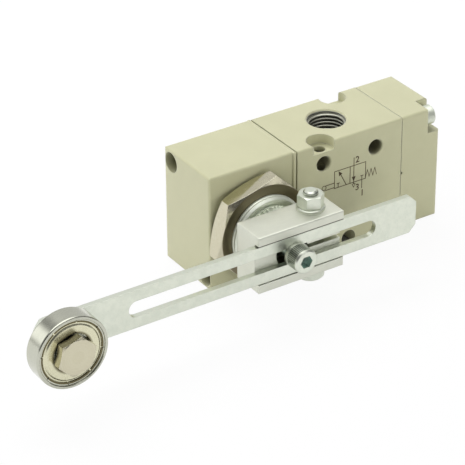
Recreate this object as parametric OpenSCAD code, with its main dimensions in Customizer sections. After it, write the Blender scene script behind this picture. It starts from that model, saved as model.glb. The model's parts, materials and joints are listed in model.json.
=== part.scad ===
// Roller lever air valve: a three-port spool valve worked by a slotted lever with a ball bearing roller.
// X runs along the body towards the end cap, -Y is the lever side, +Z is up.
// The origin lies on the base plane, under the lever pivot, halfway through the depth.

/* [Body] */
// Height of the three blocks
body_h = 42.5; // [42:0.5:45]
// Depth of the three blocks, front to back
body_w = 28; // [27.5:0.5:31]
// Length of the actuator head
head_len = 34; // [33:0.5:37]
// Length of the valve body
valve_len = 43; // [42.5:0.5:47]
// Length of the end cap
cap_len = 16; // [15:0.5:20]
// Rounding of the outer edges
edge_r = 0.8; // [0.4:0.1:1.2]
// Rounding of the end cap's edges
cap_edge_r = 1.1; // [0.6:0.1:1.6]
// How far the front of the head stands back behind its seam strip
head_recess = 0.6; // [0.3:0.1:1]
// Width of the full-depth strip at the head's seam
strip_w = 1.2; // [0.8:0.1:2]
// Thickness of the gasket between the head and the valve body
gasket_t = 0.4; // [0.3:0.1:0.6]
// Thickness of the gasket between the valve body and the end cap
cap_gasket_t = 0.2; // [0.1:0.05:0.4]
// How far the gaskets stay inside the outline
gasket_inset = 0.9; // [0.6:0.1:1.2]
// Radius of the spring chamber's vent at the end cap's seam
vent_r = 0.45; // [0.3:0.05:0.6]

/* [Ports and fixing] */
// Radius of the G1/4 port threads
port_r = 6.58; // [6:0.01:6.8]
// Depth of the port threads
port_depth = 12; // [10.5:0.5:12.5]
// Distance between neighbouring ports along the body
port_pitch = 11; // [10.5:0.1:11.5]
// Radius of the passages from the ports to the spool bore
flow_r = 3.6; // [3:0.1:4]
// Radius of the horizontal fixing holes
fix_r = 2.75; // [2.2:0.05:3]
// Distance between the two horizontal fixing holes
fix_pitch = 21.2; // [20.5:0.1:22]
// Distance from the top down to the horizontal fixing holes
fix_drop = 7.8; // [7.2:0.1:8.4]
// Radius of the open screw notch in the base
notch_r = 2.8; // [2.3:0.05:3]
// Height of the notch's round end above the base
notch_z = 3; // [2.5:0.1:4]
// Radius of the screw head pockets in the top
pocket_r = 4.8; // [4.4:0.1:5]
// Depth of the screw head pockets
pocket_depth = 3.4; // [2.5:0.1:4]
// Distance from the pocket centres to the nearest side
pocket_in = 2.3; // [2.2:0.1:2.8]
// Radius of the vertical screw holes
down_r = 2.1; // [1.7:0.05:2.2]
// Distance from the vertical screw holes to the nearest side
down_in = 2.9; // [2.8:0.1:3.2]

/* [Body screws] */
// Shank radius of the M4 body screws
bolt_r = 2; // [1.5:0.1:2.1]
// Head radius of the body screws
bolt_head_r = 3.4; // [3:0.1:3.4]
// Head height of the body screws
bolt_head_h = 4; // [3:0.1:4.2]
// Across-flats size of the body screws' sockets
bolt_key = 3; // [2.5:0.1:3.2]
// Distance from the screws to the nearest side
bolt_in_y = 4.1; // [4:0.1:4.2]
// Distance from the screws to the top or the base
bolt_in_z = 4.4; // [4.3:0.1:4.8]
// Depth of the screws' threads in the valve body
bolt_grip = 7.4; // [5:0.1:7.5]
// Thickness of the head under its screw heads
head_seat = 10; // [8:0.5:12]
// Size of the end cap's corner notches along the body
corner_x = 5; // [4:0.5:6]
// Size of the end cap's corner notches across the depth
corner_y = 7.6; // [7.6:0.1:8]
// Size of the end cap's corner notches in height
corner_z = 9; // [8.5:0.1:9.5]

/* [Spool] */
// Radius of the spool bore
bore_r = 7.5; // [7:0.1:7.7]
// Radius of the spool's lands
spool_r = 4; // [3.6:0.1:4.2]
// Radius of the spool's waist
waist_r = 2.6; // [2.2:0.1:2.8]
// Width of each spool seal
seal_w = 2; // [1.6:0.1:2.2]
// Radial thickness of the spacers between the seals
spacer_t = 2.4; // [1.8:0.1:2.6]
// Radius of the plunger stem
plunger_r = 3; // [2.5:0.1:3.2]
// Radius of the plunger's flat head
tappet_r = 6.2; // [6:0.1:6.3]
// Thickness of the plunger's flat head
tappet_t = 3; // [2.5:0.1:3.2]
// Wire diameter of the return spring
spring_wire = 1.1; // [0.9:0.05:1.2]
// Mean radius of the return spring
spring_r = 4.6; // [4.2:0.1:4.9]
// Turns of the return spring
spring_turns = 7; // [6:0.5:7]

/* [Lever shaft] */
// Radius of the lever shaft
shaft_r = 6; // [5.6:0.1:6.2]
// Radius of the shaft where the cam sits
cam_seat_r = 3.5; // [3:0.1:3.6]
// Radius of the shaft's tail in the rear wall
tail_r = 3; // [2.4:0.1:3]
// Push of the cam for each radian of swing
cam_rate = 4.6; // [4.2:0.1:4.7]
// Distance from the shaft's axis to the cam's flat
cam_flat = 4.8; // [4.7:0.1:5]
// Width of the cam
cam_w = 8; // [6:0.5:8]
// Full swing of the lever in degrees
swing = 42; // [36:1:43]
// Across-flats size of the hexagon housing
housing_af = 34; // [32:0.5:35]
// Length of the hexagon
housing_l = 6.5; // [5:0.1:8]
// Radius of the housing's thread in the head
neck_r = 11; // [10.8:0.05:11.2]
// Thickness of the ring gasket behind the hexagon
ring_t = 1.1; // [0.8:0.1:1.5]
// Wall of the shaft bush
bush_t = 2; // [1.5:0.1:2]
// Radius of the index disc
disc_r = 13.5; // [12.5:0.1:14]
// Thickness of the index disc's rim
disc_t = 2.4; // [2:0.1:4]
// Outer radius of the serrated hub
serration_r = 10.4; // [9.5:0.1:10.6]
// Length of the serrated hub
hub_l = 2.05; // [1.5:0.05:3]
// Number of serrations
serrations = 40; // [24:4:60]

/* [Clamp] */
// Length of the clamp block along the lever
clamp_l = 33.4; // [32:0.2:38]
// Distance from the block's plain end to the shaft's axis
clamp_back = 14.5; // [12:0.5:16]
// Height of the clamp block across the lever
clamp_h = 20.8; // [20:0.2:24]
// Depth of the clamp block along the shaft
clamp_d = 12.9; // [12.5:0.1:15]
// Depth of the channel for the lever
channel_d = 2.3; // [2.2:0.1:3.2]
// Width of the saw cut that lets the block close
split_w = 1.5; // [1:0.1:2]
// Distance from the shaft's axis to the clamp bolt
clamp_bolt_x = 10.8; // [10:0.1:13]
// Radius of the M5 screws
screw_r = 2.5; // [2:0.05:2.6]
// Across-flats size of the clamp nut
nut_af = 8; // [7.5:0.1:9]
// Height of the clamp nut
nut_h = 4.4; // [3.5:0.1:5]

/* [Lever] */
// Distance from the shaft's axis to the roller's axis
roller_reach = 89; // [80:1:100]
// Distance from the shaft's axis to the plain end of the bar
bar_tail = 48.3; // [44:0.1:55]
// Width of the bar
bar_w = 13.8; // [13:0.1:15]
// Thickness of the bar
bar_t = 2; // [1.5:0.1:2.1]
// Corner chamfer at the plain end of the bar
bar_chamfer = 2.6; // [1.5:0.1:3.5]
// Width of the slot
slot_w = 5.8; // [5.5:0.1:6.4]
// Distance from the shaft's axis to the slot's roller end
slot_far = 62.8; // [50:0.1:64]
// Distance from the shaft's axis to the slot's plain end
slot_near = 31.9; // [25:0.1:36]

/* [Roller] */
// Outer radius of the roller bearing
roller_r = 12.5; // [12:0.1:13]
// Width of the roller bearing
roller_w = 7; // [7:0.1:8]
// Radius of the bearing's bore
axle_r = 4.5; // [4:0.1:4.6]
// Radius of the bearing's balls
ball_r = 2; // [1.8:0.05:2.05]
// Radius of the circle through the ball centres
ball_pitch_r = 8.35; // [8.2:0.05:8.4]
// Number of balls
balls = 7; // [6:1:8]
// Across-flats size of the axle's hexagon head
axle_af = 12; // [11:0.5:12.5]
// Height of the axle's hexagon head
axle_head_h = 3; // [2.5:0.1:5]
// Gap between the bar and the bearing
spacer_l = 3.8; // [2.5:0.1:5]
// Radius of the axle's M6 thread
thread_r = 3; // [2.5:0.1:3]
// Across-flats size of the axle nut
axle_nut_af = 10; // [9:0.5:10]
// Height of the axle nut
axle_nut_h = 3.2; // [2.7:0.1:5]

/* [Hidden] */
$fn = 48;
// Clearances: pressed, snug and running fits, seated faces, a screw in a plain hole, and cuts past a face
press = 0.01;
snug = 0.02;
run = 0.04;
touch = 0.05;
loose = 0.25;
past = 1;

paint = [0.78, 0.77, 0.66];
plated = [0.78, 0.8, 0.8];
steel = [0.62, 0.63, 0.64];
nickel = [0.8, 0.75, 0.68];
alloy = [0.82, 0.83, 0.82];
bronze = [0.72, 0.55, 0.32];
black_rubber = [0.1, 0.1, 0.1];
white_plastic = [0.88, 0.88, 0.84];

// Places along the body
axis_z = body_h / 2;
front_y = -body_w / 2;
rear_y = body_w / 2;
head_x0 = -head_len / 2;
seam_1 = head_len / 2;
seam_2 = seam_1 + valve_len;
cap_x1 = seam_2 + cap_len;
head_x1 = seam_1 - gasket_t / 2;
valve_x0 = seam_1 + gasket_t / 2;
valve_x1 = seam_2 - cap_gasket_t / 2;
cap_x0 = seam_2 + cap_gasket_t / 2;
port_x = (seam_1 + seam_2) / 2;
head_front = front_y + head_recess;
head_room = 0.2;
tip_room = 1;
head_bolts = [[rear_y - bolt_in_y, body_h - bolt_in_z], [front_y + bolt_in_y, bolt_in_z]];
cap_bolts = [[front_y + bolt_in_y, body_h - bolt_in_z], [rear_y - bolt_in_y, bolt_in_z]];
counterbore_r = bolt_head_r + head_room;
cap_seat = cap_x1 - corner_x;

// Places forward along the shaft, each built on the one behind it
hex_back = head_front - ring_t;
hex_front = hex_back - housing_l;
disc_back = hex_front - 2 * touch;
disc_front = disc_back - disc_t;
hub_front = disc_front - hub_l;
clamp_rear = hub_front - touch;
clamp_front = clamp_rear - clamp_d;
channel_y = clamp_front + channel_d;
bar_rear = channel_y - touch;
bar_front = bar_rear - bar_t;
lock_t = 1.25;
key_share = 0.55;
screw_head_r = 4.25;
screw_head_h = 5;
lock_front = bar_front - touch - lock_t;
bearing_rear = bar_front - spacer_l;
bearing_y = bearing_rear - roller_w / 2;
bearing_front = bearing_rear - roller_w;

// Inside the head
neck_l = 7;
neck_shoulder = 0.8;
rear_wall = 7;
tail_l = 4.5;
neck_end = front_y + neck_l;
cam_front = -cam_w / 2;
cam_rear = cam_w / 2;
cavity_r = neck_r - neck_shoulder;
cavity_end = rear_y - rear_wall;
tail_end = cavity_end + tail_l;
cam_relief = 0.1;
boss_r = cam_flat - cam_relief;
tappet_x = cam_flat + touch;
stroke = cam_rate * swing * PI / 180;
spare_travel = 0.5;
guide_shoulder = 0.8;
guide_x0 = tappet_x + tappet_t + stroke + spare_travel;
guide_r = tappet_r + guide_shoulder;
plunger_seal_x = (guide_x0 + head_x1) / 2;
plunger_seal_w = 1.8;
plunger_seal_t = 1.5;
lobe_spare = 3;
cam_lobe = swing + lobe_spare;
cam_pin_r = 1.25;
cam_pin_y = (neck_end + cam_front) / 2;
seal_front_l = 2;
seal_in = 0.2;
seal_wall = 1;
bush_front = hex_front + seal_front_l + 2 * touch;
bush_r = shaft_r + bush_t;
tap_end = hex_front;
shaft_sink = 1.7;
shaft_front = channel_y + shaft_sink;

// Along the spool: the waist joins port 2 to port 3 at rest, and to port 1 at full stroke
inner_seals = [port_x - port_pitch / 2, port_x + port_pitch / 2];
outer_seals = [port_x - 1.5 * port_pitch, port_x + 1.5 * port_pitch];
seal_xs = [outer_seals[0], inner_seals[0], inner_seals[1], outer_seals[1]];
seal_lap = (stroke - seal_w) / 2;
waist_x0 = inner_seals[0] - seal_w / 2 - seal_lap;
waist_x1 = inner_seals[1] - seal_w / 2 - seal_lap;
seat_in = 1.5;
seat_t = 2;
seat_lip = 1.2;
seat_collar = 0.6;
spring_gap = 0.8;
cap_wall = 2.5;
plunger_in = 1.8;
plunger_x1 = valve_x0 + plunger_in;
seat_x0 = seam_2 - seat_in;
seat_r = spring_r + seat_lip;
spring_x0 = seat_x0 + seat_t + touch;
spring_room = seat_r + spring_gap;
spring_x1 = cap_x1 - cap_wall;

// Lever and roller
channel_fit = 0.5;
pad_h = bar_w + channel_fit;
washer_lip = 0.2;
washer_r = nut_af / 2 / cos(30) + washer_lip;
washer_t = 1;
groove_room = 0.06;
race_gap = 1.45;
// Where the outer ring's land and its shield seat lie in the wall outside them
land_share = 0.35;
seat_share = 0.59;
land_step = 1;
shield_in = 1.2;
shield_t = 0.42;
shield_rise = 0.4;
shield_slope = 0.5;
shield_lap = 0.3;
ring_in = 0.45;
groove_r = ball_r + groove_room;
inner_shoulder = ball_pitch_r - race_gap;
inner_end = inner_shoulder - land_step;
outer_land = ball_pitch_r + land_share * (roller_r - ball_pitch_r);
ring_seat_r = outer_land + seat_share * (roller_r - outer_land);
shield_y = roller_w / 2 - shield_in;
// Turn of the housing's and the axle's hexagons, and the share of a flat that their chamfers leave
hex_turn = 15.5;
hex_rim = 0.985;
// Slopes of the chamfers on the hexagons' outer and inner faces, in degrees
face_slope = 20;
back_slope = 30;

// Extrusions and rods along each axis
module along_x(x0, x1) translate([x0, 0, 0]) rotate([90, 0, 90]) linear_extrude(x1 - x0) children();
module along_y(y0, y1) translate([0, y1, 0]) rotate([90, 0, 0]) linear_extrude(y1 - y0) children();
module along_z(z0, z1) translate([0, 0, z0]) linear_extrude(z1 - z0) children();
module rod_x(r, x0, x1) translate([x0, 0, 0]) rotate([0, 90, 0]) cylinder(r = r, h = x1 - x0);
module rod_y(r, y0, y1) translate([0, y0, 0]) rotate([-90, 0, 0]) cylinder(r = r, h = y1 - y0);
module rod_z(r, z0, z1) translate([0, 0, z0]) cylinder(r = r, h = z1 - z0);

// Revolved profiles, drawn as [radius, place along the axis]
module turned_x() rotate([0, 90, 0]) rotate_extrude() children();
module turned_y() rotate([-90, 0, 0]) rotate_extrude() children();
module band(r0, r1, a0, a1) translate([r0, a0]) square([r1 - r0, a1 - a0]);

module on_axis() translate([0, 0, axis_z]) children();
module on_roller() translate([-roller_reach, bearing_y, axis_z]) children();
module on_clamp_bolt() translate([clamp_bolt_x, (clamp_rear + channel_y) / 2, axis_z]) children();

module at_bolts(bolts) for (b = bolts) translate([0, b[0], b[1]]) children();

module box(x0, x1, y0, y1, z0, z1) translate([x0, y0, z0]) cube([x1 - x0, y1 - y0, z1 - z0]);

module rounded_rect(a0, a1, b0, b1, r) {
    translate([a0 + r, b0]) square([a1 - a0 - 2 * r, b1 - b0]);
    translate([a0, b0 + r]) square([a1 - a0, b1 - b0 - 2 * r]);
    for (a = [a0 + r, a1 - r], b = [b0 + r, b1 - r]) translate([a, b]) circle(r);
}

// Block with all its edges rounded
module soft_block(x0, x1, y0, y1, z0, z1, r) {
    intersection() {
        along_z(z0, z1) rounded_rect(x0, x1, y0, y1, r);
        along_x(x0, x1) rounded_rect(y0, y1, z0, z1, r);
        along_y(y0, y1) rounded_rect(x0, x1, z0, z1, r);
    }
}

// Hexagon along Y, with the slopes of its end chamfers in degrees, zero for a square end
module hexagon(af, y0, y1, turn, front, rear) {
    corner = af / 2 / cos(30);
    rim = af / 2 * hex_rim;
    fall = corner - rim;
    rotate([0, -turn, 0]) intersection() {
        translate([0, y0, 0]) rotate([-90, 0, 0]) cylinder(r = corner, h = y1 - y0, $fn = 6);
        turned_y() polygon([
            [0, y0],
            [front > 0 ? rim : corner, y0],
            [corner, y0 + fall * tan(front)],
            [corner, y1 - fall * tan(rear)],
            [rear > 0 ? rim : corner, y1],
            [0, y1]
        ]);
    }
}

// Screw along X with its head towards -X and a hexagon socket
module socket_screw(x0, x1) {
    key_depth = bolt_head_h * key_share;
    bevel = 0.4;
    difference() {
        union() {
            turned_x() polygon([
                [0, x0 - bolt_head_h],
                [bolt_head_r - bevel, x0 - bolt_head_h],
                [bolt_head_r, x0 - bolt_head_h + bevel],
                [bolt_head_r, x0],
                [0, x0]
            ]);
            rod_x(bolt_r, x0 - past, x1);
        }
        translate([x0 - bolt_head_h - past, 0, 0]) rotate([0, 90, 0])
            cylinder(r = bolt_key / 2 / cos(30), h = key_depth + past, $fn = 6);
    }
}

module valve_body() color(paint) difference() {
    along_x(valve_x0, valve_x1) rounded_rect(front_y, rear_y, 0, body_h, edge_r);
    on_axis() rod_x(bore_r, valve_x0 - past, valve_x1 + past);
    translate([port_x, 0, 0]) {
        port_hole(1);
        for (s = [-1, 1]) translate([s * port_pitch, 0, 0]) port_hole(-1);
        for (s = [-1, 1]) translate([s * fix_pitch / 2, 0, body_h - fix_drop]) fixing_hole();
        for (s = [-1, 1]) translate([s * fix_pitch / 2, 0, 0]) down_hole(s);
        translate([0, 0, notch_z]) rod_y(notch_r, front_y - past, rear_y + past);
        box(-notch_r, notch_r, front_y - past, rear_y + past, -past, notch_z);
    }
    at_bolts(head_bolts) rod_x(bolt_r + run, valve_x0 - past, valve_x0 + bolt_grip);
    at_bolts(cap_bolts) rod_x(bolt_r + run, valve_x1 - bolt_grip, valve_x1 + past);
}

// Threaded port with its chamfer and the passage to the bore, upwards or downwards from the axis
module port_hole(side) {
    chamfer = 0.55;
    on_axis() mirror([0, 0, side < 0 ? 1 : 0]) {
        rod_z(flow_r, 0, axis_z - port_depth + past);
        rod_z(port_r, axis_z - port_depth, axis_z + past);
        translate([0, 0, axis_z - chamfer]) cylinder(r1 = port_r, r2 = port_r + 2 * chamfer, h = 2 * chamfer);
    }
}

module fixing_hole() {
    chamfer = 0.35;
    rod_y(fix_r, front_y - past, rear_y + past);
    for (s = [0, 1]) mirror([0, s, 0]) translate([0, rear_y - chamfer, 0]) rotate([-90, 0, 0])
        cylinder(r1 = fix_r, r2 = fix_r + 2 * chamfer, h = 2 * chamfer);
}

// Vertical screw hole with its head pocket open to the side
module down_hole(side) {
    translate([0, side * (rear_y - down_in), 0]) rod_z(down_r, -past, body_h + past);
    translate([0, side * (rear_y - pocket_in), 0]) rod_z(pocket_r, body_h - pocket_depth, body_h + past);
}

module actuator_head() color(paint) difference() {
    union() {
        soft_block(head_x0, head_x1 - strip_w / 2, head_front, rear_y, 0, body_h, edge_r);
        soft_block(head_x1 - strip_w, head_x1, front_y, rear_y, 0, body_h, strip_w * 0.3);
    }
    on_axis() {
        rod_y(neck_r + run, head_front - past, neck_end);
        rod_y(cavity_r, neck_end - past, cavity_end);
        rod_y(tail_r + run, cavity_end - past, tail_end);
        rod_x(guide_r + run, 0, head_x1 + past);
    }
    at_bolts(head_bolts) {
        rod_x(bolt_r + loose, head_x0, head_x1 + past);
        rod_x(counterbore_r, head_x0 - past, head_x1 - head_seat);
    }
}

module end_cap() color(paint) difference() {
    intersection() {
        soft_block(cap_x0 - 2 * cap_edge_r, cap_x1, front_y, rear_y, 0, body_h, cap_edge_r);
        box(cap_x0, cap_x1 + past, front_y - past, rear_y + past, -past, body_h + past);
    }
    on_axis() {
        rod_x(spring_room, cap_x0 - past, spring_x1);
        translate([cap_x0 + vent_r / 2, 0, 0]) rod_y(vent_r, front_y - past, 0);
    }
    box(cap_seat, cap_x1 + past, front_y - past, front_y + corner_y, body_h - corner_z, body_h + past);
    box(cap_seat, cap_x1 + past, rear_y - corner_y, rear_y + past, -past, corner_z);
    at_bolts(cap_bolts) rod_x(bolt_r + loose, cap_x0 - past, cap_x1 + past);
}

// Flat gasket across a seam, with holes for the bore and its screws
module seam_gasket(seam, thickness, bolts) difference() {
    along_x(seam - thickness / 2, seam + thickness / 2)
        rounded_rect(
            front_y + gasket_inset,
            rear_y - gasket_inset,
            gasket_inset,
            body_h - gasket_inset,
            edge_r
        );
    on_axis() rod_x(bore_r, seam - past, seam + past);
    at_bolts(bolts) rod_x(bolt_r + loose, seam - past, seam + past);
}

module head_gasket() color(black_rubber) seam_gasket(seam_1, gasket_t, head_bolts);
module cap_gasket() color(black_rubber) seam_gasket(seam_2, cap_gasket_t, cap_bolts);

module head_screws() color(plated) at_bolts(head_bolts)
    socket_screw(head_x1 - head_seat, valve_x0 + bolt_grip - tip_room);

module cap_screws() color(plated) at_bolts(cap_bolts) mirror([1, 0, 0])
    socket_screw(-cap_seat, bolt_grip - valve_x1 - tip_room);

module shaft_housing() color(nickel) on_axis() difference() {
    union() {
        hexagon(housing_af, hex_front, hex_back, hex_turn, face_slope, back_slope);
        rod_y(neck_r, hex_back - past, neck_end);
    }
    rod_y(bush_r + run, hex_front - past, neck_end + past);
    rod_y(bush_r + seal_wall, hex_front - past, bush_front);
}

module housing_gasket() color(black_rubber) on_axis() {
    inset = 1.2;
    turned_y() band(neck_r + run, housing_af / 2 - inset, hex_back, head_front);
}

module shaft_bush() color(bronze) on_axis() turned_y() band(shaft_r + run, bush_r, bush_front, neck_end);

module shaft_seal() color(black_rubber) on_axis()
    turned_y() band(shaft_r + touch, bush_r + seal_wall - touch, hex_front + seal_in, bush_front - touch);

module lever_shaft() color(steel) on_axis() difference() {
    bevel = 0.6;
    end_room = 0.5;
    union() {
        turned_y() polygon([
            [0, shaft_front],
            [shaft_r - bevel, shaft_front],
            [shaft_r, shaft_front + bevel],
            [shaft_r, neck_end],
            [0, neck_end]
        ]);
        rod_y(cam_seat_r, neck_end - past, cam_rear + end_room);
        rod_y(tail_r, cam_rear, tail_end - end_room);
    }
    rod_y(screw_r + run, channel_y, tap_end);
    cam_pin_hole();
}

module cam_pin_hole() translate([0, cam_pin_y, 0]) rod_x(cam_pin_r + press, -2 * boss_r, 2 * boss_r);

// The cam's working faces are involutes, so the plunger moves evenly with the swing either way from the flat
function involute(a) = let (h = cam_flat + cam_rate * a * PI / 180)
    [h * cos(a) - cam_rate * sin(a), h * sin(a) + cam_rate * cos(a)];

module cam_outline() {
    upper = [for (a = [0:3:cam_lobe]) involute(a)];
    lower = [for (p = upper) [p[0], -p[1]]];
    tip = upper[len(upper) - 1];
    heel = 0.85 * tip[1];
    back = [[-tip[0], -heel], [-boss_r, -boss_r / 2], [-boss_r, boss_r / 2], [-tip[0], heel]];
    polygon(concat(lower, back, [for (i = [len(upper) - 1:-1:0]) upper[i]]));
}

module cam() color(steel) on_axis() difference() {
    union() {
        along_y(cam_front, cam_rear) cam_outline();
        rod_y(boss_r, neck_end + 2 * touch, cam_front + past);
    }
    rod_y(cam_seat_r + press, neck_end - past, cam_rear + past);
    cam_pin_hole();
}

module cam_pin() color(plated) on_axis() translate([0, cam_pin_y, 0]) {
    inset = 0.4;
    half = boss_r - inset;
    rod_x(cam_pin_r, -half, half);
}

// Toothed ring with straight-sided serrations
module serrated(r, depth, teeth) polygon([
    for (i = [0:2 * teeth - 1]) let (a = 180 * i / teeth, q = r - (i % 2) * depth) [q * cos(a), q * sin(a)]
]);

module index_disc() color(plated) on_axis() difference() {
    step = 0.2;
    bevel = 0.7;
    tooth = 0.7;
    rim = 1.6;
    groove = 0.9;
    groove_gap = 0.15;
    union() {
        turned_y() polygon([
            [0, disc_front],
            [disc_r - step - bevel, disc_front],
            [disc_r - step, disc_front + bevel],
            [disc_r - step, disc_back - bevel - step],
            [disc_r, disc_back - bevel],
            [disc_r, disc_back],
            [0, disc_back]
        ]);
        along_y(hub_front, disc_front + past) serrated(serration_r, tooth, serrations);
    }
    turned_y() band(serration_r + groove_gap, disc_r - rim, disc_front - past, disc_front + groove);
    rod_y(shaft_r + snug, hub_front - past, disc_back + past);
}

module plunger() color(steel) on_axis() {
    bevel = 0.8;
    turned_x() polygon([
        [0, tappet_x],
        [tappet_r, tappet_x],
        [tappet_r, tappet_x + tappet_t - bevel],
        [tappet_r - bevel, tappet_x + tappet_t],
        [plunger_r, tappet_x + tappet_t],
        [plunger_r, plunger_x1],
        [0, plunger_x1]
    ]);
}

module plunger_guide() color(bronze) on_axis() turned_x() difference() {
    band(plunger_r + run, guide_r, guide_x0, head_x1);
    translate([plunger_r, plunger_seal_x - plunger_seal_w / 2 - touch])
        square([plunger_seal_t + touch, plunger_seal_w + 2 * touch]);
}

module plunger_seal() color(black_rubber) on_axis() turned_x()
    translate([plunger_r + touch, plunger_seal_x - plunger_seal_w / 2])
        square([plunger_seal_t - touch, plunger_seal_w]);

module spool() color(alloy) on_axis() {
    pin_x1 = seat_x0 + seat_t + seat_collar;
    bevel = 0.4;
    turned_x() polygon([
        [0, plunger_x1],
        [spool_r - bevel, plunger_x1],
        [spool_r, plunger_x1 + bevel],
        [spool_r, waist_x0],
        [waist_r, waist_x0 + spool_r - waist_r],
        [waist_r, waist_x1 - spool_r + waist_r],
        [spool_r, waist_x1],
        [spool_r, seat_x0 - bevel],
        [spool_r - bevel, seat_x0],
        [waist_r, seat_x0],
        [waist_r, pin_x1],
        [0, pin_x1]
    ]);
}

module spool_seals() color(black_rubber) on_axis()
    for (x = seal_xs) turned_x() band(spool_r + touch, bore_r - touch, x - seal_w / 2, x + seal_w / 2);

// Rings that hold the seals apart, with windows where a port meets the bore
module seal_spacers() color(white_plastic) on_axis() {
    gap = seal_w / 2 + touch;
    r1 = bore_r - touch;
    r0 = r1 - spacer_t;
    turned_x() band(r0, r1, valve_x0, seal_xs[0] - gap);
    for (i = [0:2]) difference() {
        turned_x() band(r0, r1, seal_xs[i] + gap, seal_xs[i + 1] - gap);
        for (a = [0:90:270]) translate([(seal_xs[i] + seal_xs[i + 1]) / 2, 0, 0]) rotate([a, 0, 0])
            rod_z(spacer_t, r0 - past / 2, bore_r + past);
    }
    turned_x() band(seat_r + loose, r1, seal_xs[3] + gap, valve_x1);
}

module spring_seat() color(plated) on_axis() turned_x()
    polygon([
        [waist_r + snug, seat_x0],
        [seat_r, seat_x0],
        [seat_r, seat_x0 + seat_t],
        [spring_r - spring_wire / 2 - loose, seat_x0 + seat_t],
        [waist_r + snug, seat_x0 + seat_t + seat_collar]
    ]);

// Coil spring along X with closed end turns
module coil(x0, x1, mean_r, wire, turns) {
    sides = 8;
    steps = ceil(turns * 14);
    closed = 1;
    x_first = x0 + wire / 2;
    x_last = x1 - wire / 2;
    climb = x_last - x_first - 2 * closed * wire;
    function along(t) = t < closed ? x_first + wire * t
        : t > turns - closed ? x_last - wire * (turns - t)
        : x_first + wire * closed + climb * (t - closed) / (turns - 2 * closed);
    function ring(i) = let (t = turns * i / steps, a = 360 * t) [
        for (k = [0:sides - 1]) let (b = 360 * k / sides, q = mean_r + wire / 2 * cos(b))
            [along(t) + wire / 2 * sin(b), q * cos(a), q * sin(a)]
    ];
    points = [for (i = [0:steps]) each ring(i)];
    walls = [
        for (i = [0:steps - 1], k = [0:sides - 1]) let (n = (k + 1) % sides)
            [i * sides + k, i * sides + n, (i + 1) * sides + n, (i + 1) * sides + k]
    ];
    ends = [[for (k = [sides - 1:-1:0]) k], [for (k = [0:sides - 1]) steps * sides + k]];
    polyhedron(points, concat(walls, ends));
}

module return_spring() color(steel) on_axis()
    coil(spring_x0, spring_x1 - touch, spring_r, spring_wire, spring_turns);

module clamp_block() color(alloy) on_axis() difference() {
    clamp_end = clamp_l - clamp_back;
    round = 0.5;
    soft_block(-clamp_back, clamp_end, clamp_front, clamp_rear, -clamp_h / 2, clamp_h / 2, round);
    box(-clamp_back - past, clamp_end + past, clamp_front - past, channel_y, -pad_h / 2, pad_h / 2);
    rod_y(shaft_r + run, clamp_front - past, clamp_rear + past);
    box(0, clamp_end + past, clamp_front - past, clamp_rear + past, -split_w / 2, split_w / 2);
    translate([0, 0, -axis_z]) on_clamp_bolt() rod_z(screw_r + loose, -clamp_h, clamp_h);
}

module clamp_bolt() color(plated) on_clamp_bolt() {
    head_h = 4.8;
    head_r = 4.8;
    bevel = 0.7;
    key = 4;
    key_depth = head_h * key_share;
    stub = 1.3;
    seat = -clamp_h / 2;
    low = seat - head_h;
    top = clamp_h / 2 + washer_t + nut_h + stub;
    difference() {
        rotate_extrude() polygon([
            [0, low],
            [head_r - bevel, low],
            [head_r, low + bevel],
            [head_r, seat],
            [screw_r, seat],
            [screw_r, top - bevel],
            [screw_r - bevel, top],
            [0, top]
        ]);
        translate([0, 0, low - past]) cylinder(r = key / 2 / cos(30), h = key_depth + past, $fn = 6);
    }
}

module clamp_washer() color(plated) on_clamp_bolt() {
    round = 0.3;
    seat = clamp_h / 2;
    rotate_extrude() polygon([
        [screw_r + loose, seat],
        [washer_r, seat],
        [washer_r, seat + washer_t - round],
        [washer_r - round, seat + washer_t],
        [screw_r + loose, seat + washer_t]
    ]);
}

module clamp_nut() color(plated) on_clamp_bolt() difference() {
    turn = 20;
    translate([0, 0, clamp_h / 2 + washer_t]) rotate([90, 0, 0])
        hexagon(nut_af, 0, nut_h, turn, back_slope, back_slope);
    rod_z(screw_r + snug, 0, clamp_h);
}

module lever_bar() color(plated) on_axis() difference() {
    half = bar_w / 2;
    along_y(bar_rear - bar_t, bar_rear) {
        translate([-roller_reach, 0]) circle(half);
        polygon([
            [-roller_reach, -half],
            [bar_tail - bar_chamfer, -half],
            [bar_tail, -half + bar_chamfer],
            [bar_tail, half - bar_chamfer],
            [bar_tail - bar_chamfer, half],
            [-roller_reach, half]
        ]);
    }
    along_y(bar_front - past, bar_rear + past)
        rounded_rect(-slot_far, slot_near, -slot_w / 2, slot_w / 2, slot_w / 2 - press);
    translate([-roller_reach, 0, 0]) rod_y(thread_r + touch, bar_front - past, bar_rear + past);
}

module lever_screw() color(plated) on_axis() difference() {
    crown = lock_front - screw_head_h;
    bevel = 0.5;
    key = 4;
    key_depth = 2.6;
    union() {
        turned_y() polygon([
            [0, crown],
            [screw_head_r - bevel, crown],
            [screw_head_r, crown + bevel],
            [screw_head_r, lock_front],
            [0, lock_front]
        ]);
        rod_y(screw_r, lock_front - past, tap_end - tip_room);
    }
    translate([0, crown - past, 0]) rotate([-90, 0, 0])
        cylinder(r = key / 2 / cos(30), h = key_depth + past, $fn = 6);
}

// Split spring washer under the lever screw
module lock_washer() color(plated) on_axis() difference() {
    lip = 0.15;
    split = 0.7;
    split_turn = 35;
    split_lean = 25;
    turned_y() band(screw_r + 2 * touch, screw_head_r + lip, lock_front, lock_front + lock_t);
    rotate([0, split_turn, 0]) translate([screw_r, lock_front + lock_t / 2, 0]) rotate([0, 0, split_lean])
        cube([screw_r * 3, lock_t * 3, split], center = true);
}

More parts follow.
